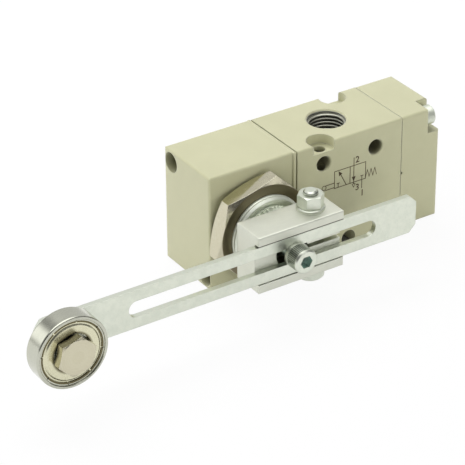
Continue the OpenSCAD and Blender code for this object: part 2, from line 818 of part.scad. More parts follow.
module roller_axle() color(nickel) translate([-roller_reach, 0, axis_z]) {
    stub = 0.7;
    hexagon(axle_af, bearing_front - axle_head_h, bearing_front, hex_turn, face_slope, 0);
    rod_y(axle_r - snug, bearing_front - past, bar_front);
    rod_y(thread_r, bar_front - past, bar_rear + axle_nut_h + stub);
}

module axle_spacer() color(plated) translate([-roller_reach, 0, axis_z]) {
    shoulder = 0.2;
    turned_y() band(axle_r + snug, inner_end - shoulder, bearing_rear, bar_front);
}

module axle_nut() color(plated) translate([-roller_reach, 0, axis_z]) difference() {
    hexagon(axle_nut_af, bar_rear, bar_rear + axle_nut_h, 0, back_slope, back_slope);
    rod_y(thread_r + snug, bar_rear - past, bar_rear + axle_nut_h + past);
}

// Deep groove ball bearing
module inner_ring() color(steel) on_roller() turned_y() difference() {
    union() {
        band(axle_r, inner_end, -roller_w / 2, roller_w / 2);
        band(axle_r, inner_shoulder, 2 * touch - shield_y, shield_y - 2 * touch);
    }
    translate([ball_pitch_r, 0]) circle(groove_r);
}

module outer_ring() color(steel) on_roller() turned_y() difference() {
    half = roller_w / 2;
    wall = roller_r - ring_seat_r;
    round = min(0.6, wall / 2);
    lip = min(0.2, wall / 4);
    corner = [for (a = [0:30:90]) [roller_r - round + round * sin(a), half - round + round * cos(a)]];
    seat = [
        [outer_land, shield_y],
        [ring_seat_r, shield_y],
        [ring_seat_r, half - lip],
        [ring_seat_r + lip, half]
    ];
    side = concat(seat, corner);
    polygon(concat(side, [for (i = [len(side) - 1:-1:0]) [side[i][0], -side[i][1]]]));
    translate([ball_pitch_r, 0]) circle(groove_r);
}

module roller_balls() color(steel) on_roller()
    for (i = [0:balls - 1]) rotate([0, 360 * i / balls, 0]) translate([ball_pitch_r, 0, 0]) sphere(ball_r);

module ball_cage() color(bronze) on_roller() difference() {
    half_t = 0.45;
    turned_y() band(ball_pitch_r - half_t, ball_pitch_r + half_t, touch - shield_y, shield_y - touch);
    for (i = [0:balls - 1]) rotate([0, 360 * i / balls, 0])
        rod_x(ball_r + touch, ball_pitch_r - past, ball_pitch_r + past);
}

// Pressed shields, raised inside a sloped step
module roller_shields() color(nickel) on_roller() for (s = [0, 1]) mirror([0, s, 0]) turned_y() {
    bore = inner_shoulder - shield_lap;
    low = shield_y + snug;
    high = low + shield_rise;
    seat = ring_seat_r - 3 * touch;
    polygon([
        [bore, high],
        [outer_land - 2 * shield_slope, high],
        [outer_land - shield_slope, low],
        [seat, low],
        [seat, low + shield_t],
        [outer_land, low + shield_t],
        [outer_land - shield_slope, high + shield_t],
        [bore, high + shield_t]
    ]);
}

// Retaining rings that hold the shields, notched from the inside
module shield_rings() color(steel) on_roller() for (s = [0, 1]) mirror([0, s, 0]) difference() {
    notches = 8;
    first = 10;
    half = 0.22;
    wall = 0.3;
    inner = outer_land + shield_slope;
    turned_y() band(inner, ring_seat_r - snug, shield_y + shield_t + 2 * snug, roller_w / 2 - ring_in);
    for (i = [0:notches - 1]) rotate([0, 360 * i / notches + first, 0])
        box(0, ring_seat_r - wall, 0, roller_w, -half, half);
}

valve_body();
actuator_head();
end_cap();
head_gasket();
cap_gasket();
head_screws();
cap_screws();
shaft_housing();
housing_gasket();
shaft_bush();
shaft_seal();
lever_shaft();
cam();
cam_pin();
index_disc();
plunger();
plunger_guide();
plunger_seal();
spool();
spool_seals();
seal_spacers();
spring_seat();
return_spring();
clamp_block();
clamp_bolt();
clamp_washer();
clamp_nut();
lever_bar();
lever_screw();
lock_washer();
roller_axle();
axle_spacer();
axle_nut();
inner_ring();
outer_ring();
roller_balls();
ball_cage();
roller_shields();
shield_rings();
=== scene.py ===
import json
import math

import bmesh
import bpy
from mathutils import Matrix, Vector


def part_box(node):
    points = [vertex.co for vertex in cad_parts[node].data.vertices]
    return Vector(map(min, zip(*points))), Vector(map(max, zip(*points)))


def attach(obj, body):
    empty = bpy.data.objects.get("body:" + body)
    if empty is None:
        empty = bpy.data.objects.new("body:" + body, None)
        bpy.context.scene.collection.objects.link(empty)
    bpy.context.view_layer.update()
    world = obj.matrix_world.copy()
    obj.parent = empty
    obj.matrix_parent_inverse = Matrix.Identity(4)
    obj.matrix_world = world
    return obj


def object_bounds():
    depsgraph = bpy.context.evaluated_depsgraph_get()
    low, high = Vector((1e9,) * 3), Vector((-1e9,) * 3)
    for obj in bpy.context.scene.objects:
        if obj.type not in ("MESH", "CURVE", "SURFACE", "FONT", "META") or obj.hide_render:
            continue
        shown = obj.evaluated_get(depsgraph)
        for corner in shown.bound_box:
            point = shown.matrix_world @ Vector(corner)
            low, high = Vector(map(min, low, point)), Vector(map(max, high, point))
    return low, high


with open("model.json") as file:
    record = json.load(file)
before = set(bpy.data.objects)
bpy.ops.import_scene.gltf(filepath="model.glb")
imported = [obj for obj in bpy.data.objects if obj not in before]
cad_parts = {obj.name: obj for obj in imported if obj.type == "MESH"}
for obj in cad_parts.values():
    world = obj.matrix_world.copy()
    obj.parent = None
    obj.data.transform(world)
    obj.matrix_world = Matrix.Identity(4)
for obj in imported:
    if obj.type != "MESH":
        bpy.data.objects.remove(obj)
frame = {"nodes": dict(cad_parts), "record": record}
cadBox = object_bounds()
nodes = frame["nodes"]
record = frame["record"]
mm = 0.001
print("frame loaded,", len(nodes), "nodes")

# places that several pieces share, from the frame
bodyLow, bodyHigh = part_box("valve_body")
ringLow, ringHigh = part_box("outer_ring")
shaftLow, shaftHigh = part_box("lever_shaft")
rollerCentre = (ringLow + ringHigh) / 2
pivot = Vector((0, 0, (shaftLow.z + shaftHigh.z) / 2))
headFront = min(v.co.y for v in nodes["actuator_head"].data.vertices if v.co.x < pivot.x)
mounts = {m["name"]: m for m in record["mounts"]}
portAxes = {name: Vector(mounts[name]["pos_m"]) for name in ("port_1", "port_2", "port_3")}


class Wire:
    # a node socket that can take part in plain sums
    def __init__(self, socket):
        self.socket = socket
        self.tree = socket.id_data

    def node(self, kind, settings=None, inputs=None, out=0):
        made = self.tree.nodes.new("ShaderNode" + kind)
        for key, value in (settings or {}).items():
            setattr(made, key, value)
        for key, value in (inputs or {}).items():
            plug(made.inputs[key], value)
        return Wire(made.outputs[out])

    def maths(self, operation, *values):
        return self.node("Math", {"operation": operation}, dict(enumerate(values)))

    def __add__(self, other):
        return self.maths("ADD", self, other)

    def __sub__(self, other):
        return self.maths("SUBTRACT", self, other)

    def __rsub__(self, other):
        return self.maths("SUBTRACT", other, self)

    def __mul__(self, other):
        return self.maths("MULTIPLY", self, other)

    __radd__ = __add__
    __rmul__ = __mul__

    def sine(self):
        return self.maths("SINE", self)

    def larger(self, other):
        return self.maths("MAXIMUM", self, other)

    def step(self, low, high, start=0.0, end=1.0):
        # smooth change from start to end as the value goes from low to high
        limits = {"From Min": low, "From Max": high, "To Min": start, "To Max": end}
        return self.node("MapRange", {"interpolation_type": "SMOOTHSTEP"}, {"Value": self, **limits})

    def stepAt(self, level, band):
        # from 0 to 1 over a band that is measured from a level
        return self.step(level + band[0], level + band[1])

    def blend(self, first, second):
        # two colours mixed by this value
        inputs = {"Factor": self, 6: first, 7: second}
        return self.node("Mix", {"data_type": "RGBA"}, inputs, out=2)

    def vector(self, operation, *values, out=0):
        return self.node("VectorMath", {"operation": operation}, dict(enumerate(values)), out)

    def noise(self, size, detail=3.0, roughness=0.5, stretch=(1, 1, 1)):
        # noise whose blobs are about that size, in metres, on this vector
        scaled = self.vector("MULTIPLY", self, stretch)
        inputs = {"Vector": scaled, "Scale": 1 / size, "Detail": detail, "Roughness": roughness}
        return self.node("TexNoise", inputs=inputs)


def plug(socket, value):
    if isinstance(value, Wire):
        socket.id_data.links.new(value.socket, socket)
    else:
        socket.default_value = value


def rgba(red, green, blue):
    # a colour as seen on screen, 0 to 255, in the shader's linear values
    def linear(value):
        share = value / 255
        return share / 12.92 if share <= 0.04045 else ((share + 0.055) / 1.055) ** 2.4
    return (linear(red), linear(green), linear(blue), 1.0)


def grey(value):
    return (value, value, value, 1.0)


def startMaterial(name):
    material = bpy.data.materials.new(name)
    material.use_nodes = True
    tree = material.node_tree
    place = Wire(tree.nodes.new("ShaderNodeTexCoord").outputs["Object"])
    return material, tree.nodes["Principled BSDF"], place


def endMaterial(shader, **inputs):
    names = {"colour": "Base Color", "metal": "Metallic", "rough": "Roughness", "normal": "Normal",
             "ior": "IOR", "sheen": "Sheen Weight", "sheenRough": "Sheen Roughness"}
    for key, value in inputs.items():
        plug(shader.inputs[names[key]], value)


def softEdges(place, radius):
    # rounded normals, and a mask that is 1 along the sharp edges
    rounded = place.node("Bevel", {"samples": 6}, {"Radius": radius})
    flat = place.node("NewGeometry", out=1)
    aligned = place.vector("DOT_PRODUCT", rounded, flat, out=1)
    return rounded, (1 - aligned).step(0.01, 0.16)


def bump(height, strength, distance, normal=None):
    inputs = {"Height": height, "Strength": strength, "Distance": distance}
    if normal is not None:
        inputs["Normal"] = normal
    return height.node("Bump", inputs=inputs)


def along(place, axis):
    return place.node("SeparateXYZ", inputs={"Vector": place}, out=axis)


def distanceFrom(place, point, axis):
    # distance from a line through the point, along x, y or z for an axis of 0, 1 or 2
    across = tuple(0.0 if i == axis else 1.0 for i in range(3))
    offset = place.vector("SUBTRACT", place, tuple(point))
    return place.vector("LENGTH", place.vector("MULTIPLY", offset, across), out=1)


def addMarks(place, colour, rough, marks):
    # further looks over a finish, each a mask with the mark that it shows
    for mask, mark in marks(place) if marks else ():
        mask = mask * mark["cover"]
        colour = mask.blend(colour, mark["colour"])
        rough = rough * (1 - mask) + mask * mark["rough"]
    return colour, rough


patchy = (0.3, 0.7)  # where a noise turns from one colour to the other
paint = {
    "colour": rgba(189, 188, 153),
    # paler edge colour: partly rubbed paint, partly painted highlight
    "wornHighlight": rgba(210, 210, 184),
    "shade": rgba(185, 184, 148),
    "bare": rgba(190, 191, 184),
    "rough": (0.42, 0.56),
    "bareRough": 0.32,
    "ior": 1.55,
    "sheen": 0.35,
    "sheenRough": 0.45,
    "peel": 0.35 * mm,
    "relief": 0.05 * mm,
    "bump": 0.10,
    "cloud": 9 * mm,
    "speck": 0.9 * mm,
    "speckCover": 0.12,
    "edge": 0.5 * mm,
    "wearHighlight": 0.75,
    "bareWall": (0.12 * mm, 0.02 * mm),
    "bareMouth": (-0.02 * mm, -0.08 * mm),
    "bareEnd": 1 * mm,
}


def bareBores(place):
    # 1 on the unpainted walls of the three ports
    half = (bodyHigh.z - bodyLow.z) / 2
    height = along(place, 2)
    radius = mounts["port_2"]["dims"]["r_mm"] * mm
    bare = None
    for port in portAxes.values():
        inside = distanceFrom(place, port, 2).stepAt(radius, paint["bareWall"])
        depth = height - pivot.z if port.z > pivot.z else pivot.z - height
        inside = inside * depth.step(0, paint["bareEnd"]) * depth.stepAt(half, paint["bareMouth"])
        bare = inside if bare is None else bare.larger(inside)
    return bare


def paintFinish(name, barePorts=False, marks=None, edgeRadius=paint["edge"]):
    # sprayed paint, paler along its edges: partly rubbed paint, partly painted highlight
    material, shader, place = startMaterial(name)
    peel = place.noise(paint["peel"], 2)
    cloud = place.noise(paint["cloud"], 4, 0.6)
    speck = place.noise(paint["speck"], 2).step(0.66, 0.74)
    rounded, edge = softEdges(place, edgeRadius)
    colour = cloud.step(*patchy).blend(paint["shade"], paint["colour"])
    # paler edges: partly rubbed paint, partly painted highlight
    colour = (edge * paint["wearHighlight"]).blend(colour, paint["wornHighlight"])
    colour = (speck * paint["speckCover"]).blend(colour, paint["shade"])
    colour, rough = addMarks(place, colour, cloud.step(0.2, 0.8, *paint["rough"]), marks)
    metal = 0.0
    if barePorts:
        metal = bareBores(place)
        colour = metal.blend(colour, paint["bare"])
        rough = rough * (1 - metal) + metal * paint["bareRough"]
    endMaterial(shader, colour=colour, metal=metal, rough=rough, ior=paint["ior"], sheen=paint["sheen"],
                sheenRough=paint["sheenRough"], normal=bump(peel, paint["bump"], paint["relief"], rounded))
    return material


zinc = {
    "bright": rgba(226, 230, 216),
    "dull": rgba(219, 224, 210),
    "speck": rgba(203, 209, 196),
    "rough": (0.31, 0.37),
    "edge": 0.22 * mm,
    "wearHighlight": 0.6,
    "spangle": 2.2 * mm,
    "grit": 0.4 * mm,
    "gritCover": 0.4,
    "gritRough": 0.04,
    "line": 0.16 * mm,
    "lineRough": 0.06,
    "stretch": (0.08, 1, 1),
    "relief": 0.02 * mm,
    "bump": 0.07,
}
dullZinc = {**zinc, "rough": (0.46, 0.54)}
paleZinc = {**dullZinc, "bright": rgba(238, 242, 229), "dull": rgba(232, 236, 223)}


def zincFinish(name, settings=zinc, marks=None):
    # bright zinc plate with cloudy patches and faint rolling lines
    material, shader, place = startMaterial(name)
    cloud = place.noise(settings["spangle"], 4, 0.6)
    lines = place.noise(settings["line"], 3, 0.6, settings["stretch"])
    speck = place.noise(settings["grit"], 2).step(0.62, 0.72)
    rounded, edge = softEdges(place, settings["edge"])
    patch = cloud.step(*patchy)
    colour = patch.blend(settings["dull"], settings["bright"])
    colour = (speck * settings["gritCover"]).blend(colour, settings["speck"])
    # paler edges: partly rubbed plate, partly painted highlight
    colour = (edge * settings["wearHighlight"]).blend(colour, settings["bright"])
    low, high = settings["rough"]
    rough = patch.step(0, 1, high, low) + speck * settings["gritRough"]
    rough = rough + (lines - 0.5) * settings["lineRough"]
    colour, rough = addMarks(place, colour, rough, marks)
    normal = bump(cloud * 0.2 + lines * 0.8, settings["bump"], settings["relief"], rounded)
    endMaterial(shader, colour=colour, metal=1.0, rough=rough, normal=normal)
    return material


turned = {
    "steel": {
        "colour": rgba(200, 201, 187),
        "dark": rgba(191, 192, 178),
        "rough": (0.17, 0.21),
        "line": 0.11 * mm,
    },
    "nickel": {
        "colour": rgba(209, 205, 182),
        "dark": rgba(199, 193, 168),
        "rough": (0.10, 0.2),
        "line": 0.2 * mm,
    },
    "gold": {
        "colour": rgba(222, 220, 192),
        "dark": rgba(216, 213, 184),
        "rough": (0.22, 0.30),
        "line": 0.2 * mm,
    },
    # painted shade: the retaining ring's own colour is dark, for the gap it sits in
    "ringGapShade": {
        "colour": rgba(120, 113, 84),
        "dark": rgba(84, 77, 52),
        "rough": (0.24, 0.36),
        "line": 0.3 * mm,
    },
    "bronze": {
        "colour": rgba(190, 148, 92),
        "dark": rgba(160, 120, 72),
        "rough": (0.3, 0.45),
        "line": 0.15 * mm,
    },
}
lathe = {
    "edge": 0.18 * mm,
    "edgeColour": rgba(222, 221, 212),
    "wearHighlight": 0.5,
    "haze": 2.5 * mm,
    "lineRough": 0.12,
    "relief": 0.02 * mm,
    "bump": 0.05,
}


def turnedFinish(name, settings, centre, marks=None):
    # metal with fine lathe lines round the y axis through the centre
    material, shader, place = startMaterial(name)
    ring = place.node("CombineXYZ", inputs={0: distanceFrom(place, centre, 1), 1: along(place, 1)})
    lines = ring.noise(settings["line"], 4, 0.65)
    haze = place.noise(lathe["haze"], 3)
    rounded, edge = softEdges(place, lathe["edge"])
    colour = lines.step(*patchy).blend(settings["dark"], settings["colour"])
    # paler edges: partly rubbed metal, partly painted highlight
    colour = (edge * lathe["wearHighlight"]).blend(colour, lathe["edgeColour"])
    rough = haze.step(*patchy, *settings["rough"]) + (lines - 0.5) * lathe["lineRough"]
    colour, rough = addMarks(place, colour, rough, marks)
    normal = bump(lines, lathe["bump"], lathe["relief"], rounded)
    endMaterial(shader, colour=colour, metal=1.0, rough=rough, normal=normal)
    return material


alloy = {
    "colour": rgba(226, 228, 215),
    "dark": rgba(220, 222, 209),
    "edgeColour": rgba(236, 238, 228),
    "rough": (0.42, 0.54),
    "edge": 0.3 * mm,
    "wearHighlight": 0.7,
    "line": 0.18 * mm,
    "stretch": (0.05, 1, 1),
    "grain": 0.25 * mm,
    "cloud": 5 * mm,
    "relief": 0.03 * mm,
    "bump": 0.15,
}
tappedAlloy = {
    **alloy,
    "colour": rgba(192, 192, 178),
    "dark": rgba(180, 180, 166),
    "rough": (0.34, 0.42),
}


def alloyFinish(name, settings=alloy, marks=None):
    # sawn and tumbled aluminium bar with faint drawing lines
    material, shader, place = startMaterial(name)
    lines = place.noise(settings["line"], 3, 0.6, settings["stretch"])
    grain = place.noise(settings["grain"], 3, 0.7)
    cloud = place.noise(settings["cloud"], 3)
    rounded, edge = softEdges(place, settings["edge"])
    colour = (lines * 0.5 + cloud * 0.5).step(0.35, 0.65).blend(settings["dark"], settings["colour"])
    # paler edges: partly rubbed metal, partly painted highlight
    colour = (edge * settings["wearHighlight"]).blend(colour, settings["edgeColour"])
    colour, rough = addMarks(place, colour, grain.step(0.25, 0.75, *settings["rough"]), marks)
    normal = bump(grain * 0.5 + lines * 0.5, settings["bump"], settings["relief"], rounded)
    endMaterial(shader, colour=colour, metal=1.0, rough=rough, normal=normal)
    return material


moulded = {
    "rubber": {"light": rgba(52, 50, 47), "dark": rgba(38, 37, 35), "rough": (0.54, 0.66)},
    "plastic": {"light": rgba(226, 224, 214), "dark": rgba(212, 210, 198), "rough": (0.39, 0.51)},
}


def mouldedFinish(name, settings):
    # rubber and plastic, slightly grained
    material, shader, place = startMaterial(name)
    grain = place.noise(0.3 * mm, 3)
    colour = grain.step(*patchy).blend(settings["dark"], settings["light"])
    rough = grain.step(0.2, 0.8, *settings["rough"])
    endMaterial(shader, colour=colour, rough=rough, normal=bump(grain, 0.1, 0.03 * mm))
    return material


# what only one piece shows, mostly painted shade: shaded bores, pockets and turned face, shade round the
# shield's bore, a dark lip line, a socket paled with painted light, shaded knurls and thread ends
marksOn = {
    # painted shade deep inside the side holes, the screw pockets and the head's end holes
    "bore": {"colour": rgba(86, 82, 48), "rough": 0.6, "cover": 0.9},
    "pocket": {"colour": rgba(86, 82, 48), "rough": 0.6, "cover": 0.8},
    # painted shade on the turned face round the index disc
    "land": {"colour": rgba(112, 103, 80), "rough": 0.4, "cover": 0.88},
    # painted shade round the shield's bore
    "shieldShade": {"colour": rgba(96, 88, 60), "rough": 0.4, "cover": 0.85},
    # the retaining ring's outer side in plain steel colour
    "plainSteel": {"colour": turned["steel"]["colour"], "rough": 0.25, "cover": 1.0},
    # a socket paled with painted light over its own teal tint
    "socket": {"colour": rgba(192, 212, 205), "rough": 0.3, "cover": 0.9},
    # painted shade on the knurled side of a screw head
    "knurlShade": {"colour": rgba(104, 116, 106), "rough": 0.35, "cover": 0.85},
    # painted shade of thread grooves
    "groove": {"colour": rgba(122, 128, 118), "rough": 0.4, "cover": 0.9},
    # painted shadow where the clamp's upper lip meets the lever
    "lipShade": {"colour": rgba(74, 72, 58), "rough": 0.6, "cover": 0.85},
}


def halfCentres(name):
    # middles of a node's upper and lower halves, and the lower half's reach from its middle along y
    corners = [v.co for v in nodes[name].data.vertices]
    middles = []
    for half in ([c for c in corners if c.z > pivot.z], [c for c in corners if c.z <= pivot.z]):
        low = Vector([min(c[i] for c in half) for i in range(3)])
        high = Vector([max(c[i] for c in half) for i in range(3)])
        middles.append((low + high) / 2)
    return middles, (high.y - low.y) / 2


def innerRadius(corners):
    # smallest distance of some corners from the roller's axis
    offsets = [c - rollerCentre for c in corners]
    return min(math.hypot(c.x, c.z) for c in offsets)


# how far the painted shade reaches into the holes, and the bands at its edges
bores = {
    "sideReach": 2.4 * mm,
    "endReach": 5 * mm,
    "topReach": 3 * mm,
    "endRoom": 0.3 * mm,
    "wallBand": (0.15 * mm, 0.05 * mm),
    "frontBand": (0.02 * mm, 0.15 * mm),
}


def hole(place, centre, axis, radius, mouth, reach):
    # rises from 0 at a hole's mouth to 1 at the reach, inside its wall only; it sets how deep the painted
    # shade in a hole grows
    inside = distanceFrom(place, centre, axis).stepAt(radius, bores["wallBand"])
    return inside * along(place, axis).step(mouth, mouth + reach)


def fixingMarks(place):
    # painted shade inside the holes through the valve's side, and in the bores below its two screw pockets
    pattern = mounts["side_fixing_holes"]
    radius = pattern["dims"]["hole_r_mm"] * mm
    apart = pattern["dims"]["spacing_x_mm"] / 2 * mm
    for side in (-apart, apart):
        centre = Vector(pattern["pos_m"]) + Vector((side, 0, 0))
        yield hole(place, centre, 1, radius, bodyLow.y, bores["sideReach"]), marksOn["bore"]
    mouth = bodyHigh.z - bores["topReach"]
    for name in ("top_screw_front", "top_screw_rear"):
        bore = mounts[name]
        radius = bore["dims"]["r_mm"] * mm
        yield hole(place, bore["pos_m"], 2, radius, mouth, -bores["topReach"]), marksOn["pocket"]


def endHoleMarks(place):
    # painted shade inside the screw holes in the head's end, but not on the front face beside the lower
    # one
    middles, reach = halfCentres("head_screws")
    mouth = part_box("actuator_head")[0].x
    behind = along(place, 1).stepAt(headFront, bores["frontBand"])
    for middle in middles:
        inside = hole(place, middle, 0, reach + bores["endRoom"], mouth, bores["endReach"])
        yield inside * behind, marksOn["bore"]


rollerMarks = {
    "shieldShadeBand": (1.0 * mm, 0.1 * mm),
    "plainSteelBand": (0, 0.15 * mm),
    "face": 0.3 * mm,
}


def shieldMarks(place):
    # painted shade round the shield's bore, next to the axle's head
    bore = innerRadius(v.co for v in nodes["roller_shields"].data.vertices)
    yield distanceFrom(place, rollerCentre, 1).stepAt(bore, rollerMarks["shieldShadeBand"]), marksOn["shieldShade"]


def retainerMarks(place):
    # painted shade: the retaining ring is dark on its inner side, down in the gap by the shield, and plain
    # steel on its outer side
    face = ringLow.y + rollerMarks["face"]
    outer = innerRadius(v.co for v in nodes["outer_ring"].data.vertices if v.co.y < face)
    inner = innerRadius(v.co for v in nodes["shield_rings"].data.vertices)
    middle = (inner + outer) / 2
    yield distanceFrom(place, rollerCentre, 1).stepAt(middle, rollerMarks["plainSteelBand"]), marksOn["plainSteel"]


leverScrew = {
    "knurls": 44,
    "knurlBand": (0.7 * mm, 1.1 * mm),
    "rimBand": (-0.2 * mm, -0.08 * mm),
    "socket": (0.62, 0.58),
    "socketBand": (0.15 * mm, 0.4 * mm),
}


def leverScrewMarks(place):
    # painted shade in dark stripes on the knurled side of the head below its plain edge, and a socket
    # paled with painted light over its own teal tint
    low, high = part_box("lever_screw")
    reach = (high.x - low.x) / 2
    radius = distanceFrom(place, pivot, 1)
    depth = along(place, 1)
    turn = place.maths("ARCTAN2", along(place, 2) - pivot.z, along(place, 0))
    ridge = (turn * leverScrew["knurls"]).sine().step(-0.6, 0.6, 0.35, 1)
    side = radius.stepAt(reach, leverScrew["rimBand"]) * depth.stepAt(low.y, leverScrew["knurlBand"])
    yield side * ridge, marksOn["knurlShade"]
    socket = radius.step(*(reach * share for share in leverScrew["socket"]))
    yield socket * depth.stepAt(low.y, leverScrew["socketBand"]), marksOn["socket"]


lip = {
    "above": 0.25 * mm,
    "lowBand": (-0.1 * mm, 0),
    "highBand": (0.3 * mm, 0.2 * mm),
    "outerBand": (-0.2 * mm, -0.4 * mm),
}


def lipMarks(place):
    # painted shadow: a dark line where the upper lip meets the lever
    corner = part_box("lever_bar")[1]
    edge = corner.z + lip["above"]
    height = along(place, 2)
    line = height.stepAt(edge, lip["lowBand"]) * height.stepAt(edge, lip["highBand"])
    yield line * along(place, 1).stepAt(corner.y, lip["outerBand"]), marksOn["lipShade"]


landBand = (0.12 * mm, 0.04 * mm)


def landMarks(place):
    # painted shade: the turned face round the index disc is darkened in colour, standing in for the shaded
    # parts it reflects
    yield along(place, 1).stepAt(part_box("shaft_housing")[0].y, landBand), marksOn["land"]


boltEnd = {"pitch": 0.8 * mm, "band": (-0.1 * mm, 0.1 * mm)}


def boltMarks(place):
    # painted shade of thread grooves, as dark stripes, on the bolt's end above its nut
    height = along(place, 2)
    groove = (height * (math.tau / boltEnd["pitch"])).sine().step(0.1, 0.8)
    yield groove * height.stepAt(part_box("clamp_nut")[1].z, boltEnd["band"]), marksOn["groove"]


# finishes, by the record's slots and then for single nodes
slotFinish = {
    "body_paint": paintFinish("bodyPaint"),
    "zinc_steel": zincFinish("zincPlate"),
    "bearing_steel": turnedFinish("bearingSteel", turned["steel"], rollerCentre),
    "nickel_plate": turnedFinish("nickelPlate", turned["nickel"], pivot),
    "yellow_passivate": turnedFinish("goldPassivate", turned["gold"], rollerCentre),
    "bare_alloy": alloyFinish("bareAlloy"),
    "bronze": turnedFinish("bushBronze", turned["bronze"], pivot),
    "seal_rubber": mouldedFinish("sealRubber", moulded["rubber"]),
    "spacer_plastic": mouldedFinish("spacerPlastic", moulded["plastic"]),
}
nodeFinish = {
    "valve_body": paintFinish("portPaint", barePorts=True, marks=fixingMarks),
    "actuator_head": paintFinish("headPaint", marks=endHoleMarks),
    "shaft_housing": turnedFinish("housingNickel", turned["nickel"], pivot, marks=landMarks),
    "index_disc": zincFinish("discZinc", paleZinc),
    "roller_axle": turnedFinish("axleNickel", turned["nickel"], rollerCentre),
    "roller_shields": turnedFinish("shieldGold", turned["gold"], rollerCentre, marks=shieldMarks),
    "shield_rings": turnedFinish("shadedRetainer", turned["ringGapShade"], rollerCentre, marks=retainerMarks),
    "lever_screw": zincFinish("leverScrewZinc", marks=leverScrewMarks),
    "clamp_bolt": zincFinish("clampBoltZinc", marks=boltMarks),
    "cap_screws": zincFinish("capScrewZinc", dullZinc),
    "clamp_block": alloyFinish("clampAlloy", marks=lipMarks),
}
for part in record["subparts"]:
    finish = nodeFinish.get(part["node"], slotFinish[part["material_slot"]])
    mesh = nodes[part["node"]].data
    mesh.materials.clear()
    mesh.materials.append(finish)
print("finishes set on", len(record["subparts"]), "nodes")


def addPiece(name, bm, finish, body):
    bmesh.ops.recalc_face_normals(bm, faces=bm.faces)
    mesh = bpy.data.meshes.new(name)
    bm.to_mesh(mesh)
    bm.free()
    mesh.materials.append(finish)
    piece = bpy.data.objects.new(name, mesh)
    bpy.context.scene.collection.objects.link(piece)
    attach(piece, body)


def pull(bm, face, way):
    # draws one face out into a solid
    made = bmesh.ops.extrude_face_region(bm, geom=[face])
    moved = [v for v in made["geom"] if isinstance(v, bmesh.types.BMVert)]
    bmesh.ops.translate(bm, vec=way, verts=moved)


thread = {
    "pitch": 1.337 * mm,
    "crest": 5.76 * mm,
    "flat": 0.17 * mm,
    "foot": 0.49,
    "sink": 0.02 * mm,
    "lead": 0.6 * mm,
    "length": 10.4 * mm,
    "steps": 40,
}
threadAlloy = alloyFinish("threadAlloy", tappedAlloy)


def portThread(port):
    # one V-shaped ridge, wound down into the port; its foot stops just short of the next turn
    centre = portAxes[port]
    up = 1 if centre.z > pivot.z else -1
    mouth = bodyHigh.z if up > 0 else bodyLow.z
    root = mounts[port]["dims"]["r_mm"] * mm + thread["sink"]
    foot = thread["pitch"] * thread["foot"]
    crest, flat = thread["crest"], thread["flat"] / 2
    start = mouth - up * (thread["lead"] + foot)
    profile = [(root, foot), (crest, flat), (crest, -flat), (root, -foot)]
    bm = bmesh.new()
    loop = [bm.verts.new((centre.x, centre.y - r, start + z)) for r, z in profile]
    edges = [bm.edges.new((a, b)) for a, b in zip(loop, loop[1:] + loop[:1])]
    steps = round((thread["length"] / thread["pitch"] - 1) * thread["steps"])
    climb = Vector((0, 0, -up * thread["pitch"] / thread["steps"]))
    bmesh.ops.spin(bm, geom=loop + edges, cent=centre, axis=(0, 0, 1), dvec=climb,
                   angle=math.tau * steps / thread["steps"], steps=steps)
    bmesh.ops.holes_fill(bm, edges=[e for e in bm.edges if e.is_boundary], sides=4)
    for face in bm.faces:
        face.smooth = True
    addPiece(port + "_thread", bm, threadAlloy, "valve")


for port in portAxes:
    portThread(port)
print("port threads wound")

headWall = {
    "thick": 0.36 * mm,
    "proud": 0.01 * mm,
    "overlap": 0.6 * mm,
    "inset": 0.2 * mm,
    "round": 0.3 * mm,
    "room": 0.2 * mm,
}


def lowerHoleWall():
    # the thin wall between the head's lower end hole and its front face
    middles, reach = halfCentres("head_screws")
    lower = middles[1]
    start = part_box("actuator_head")[0].x + headWall["inset"]
    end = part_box("head_screws")[0].x - headWall["inset"]
    half = math.sqrt((reach + headWall["room"]) ** 2 - (lower.y - headFront) ** 2)
    wide = half + headWall["overlap"]
    front, rear = headFront - headWall["proud"], headFront + headWall["thick"]
    profile = [(front, wide), (rear, wide), (rear, -wide), (front, -wide)]
    bm = bmesh.new()
    face = bm.faces.new([bm.verts.new((start, y, lower.z + z)) for y, z in profile])
    pull(bm, face, (end - start, 0, 0))
    middle = (start + end) / 2
    corner = [e for e in bm.edges if all(v.co.x < middle and v.co.y < headFront for v in e.verts)]
    bmesh.ops.bevel(bm, geom=corner, offset=headWall["round"], segments=4, profile=0.5,
                    affect="EDGES", material=-1)
    finish = paintFinish("wallPaint", edgeRadius=headWall["proud"])
    addPiece("head_wall", bm, finish, "valve")


lowerHoleWall()
print("head wall closed")

symbol = {
    "left": 32.3 * mm,
    "low": 24.0 * mm,
    "square": 6.4 * mm,
    "line": 0.3 * mm,
    "levelLine": 0.288 * mm,
    "thinLine": 0.24 * mm,
    "proud": 0.02 * mm,
    "arrow": 1.9 * mm,
    "arrowHalf": 0.42,
    "digit": 3.35 * mm,
    "bold": 0.06 * mm,
    "ink": rgba(70, 54, 33),
    "faded": rgba(92, 76, 51),
}


def inkFinish():
    material, shader, place = startMaterial("symbolInk")
    fade = place.noise(0.5 * mm, 3).step(0.3, 0.75)
    colour = fade.blend(symbol["ink"], symbol["faded"])
    endMaterial(shader, colour=colour, rough=fade.step(0, 1, 0.5, 0.62))
    return material


def onFront(spot):
    # a spot of the sign, in squares from its lower left corner, on the valve's front face
    corner = Vector((symbol["left"], bodyLow.y, symbol["low"]))
    return corner + Vector((spot[0], 0, spot[1])) * symbol["square"]


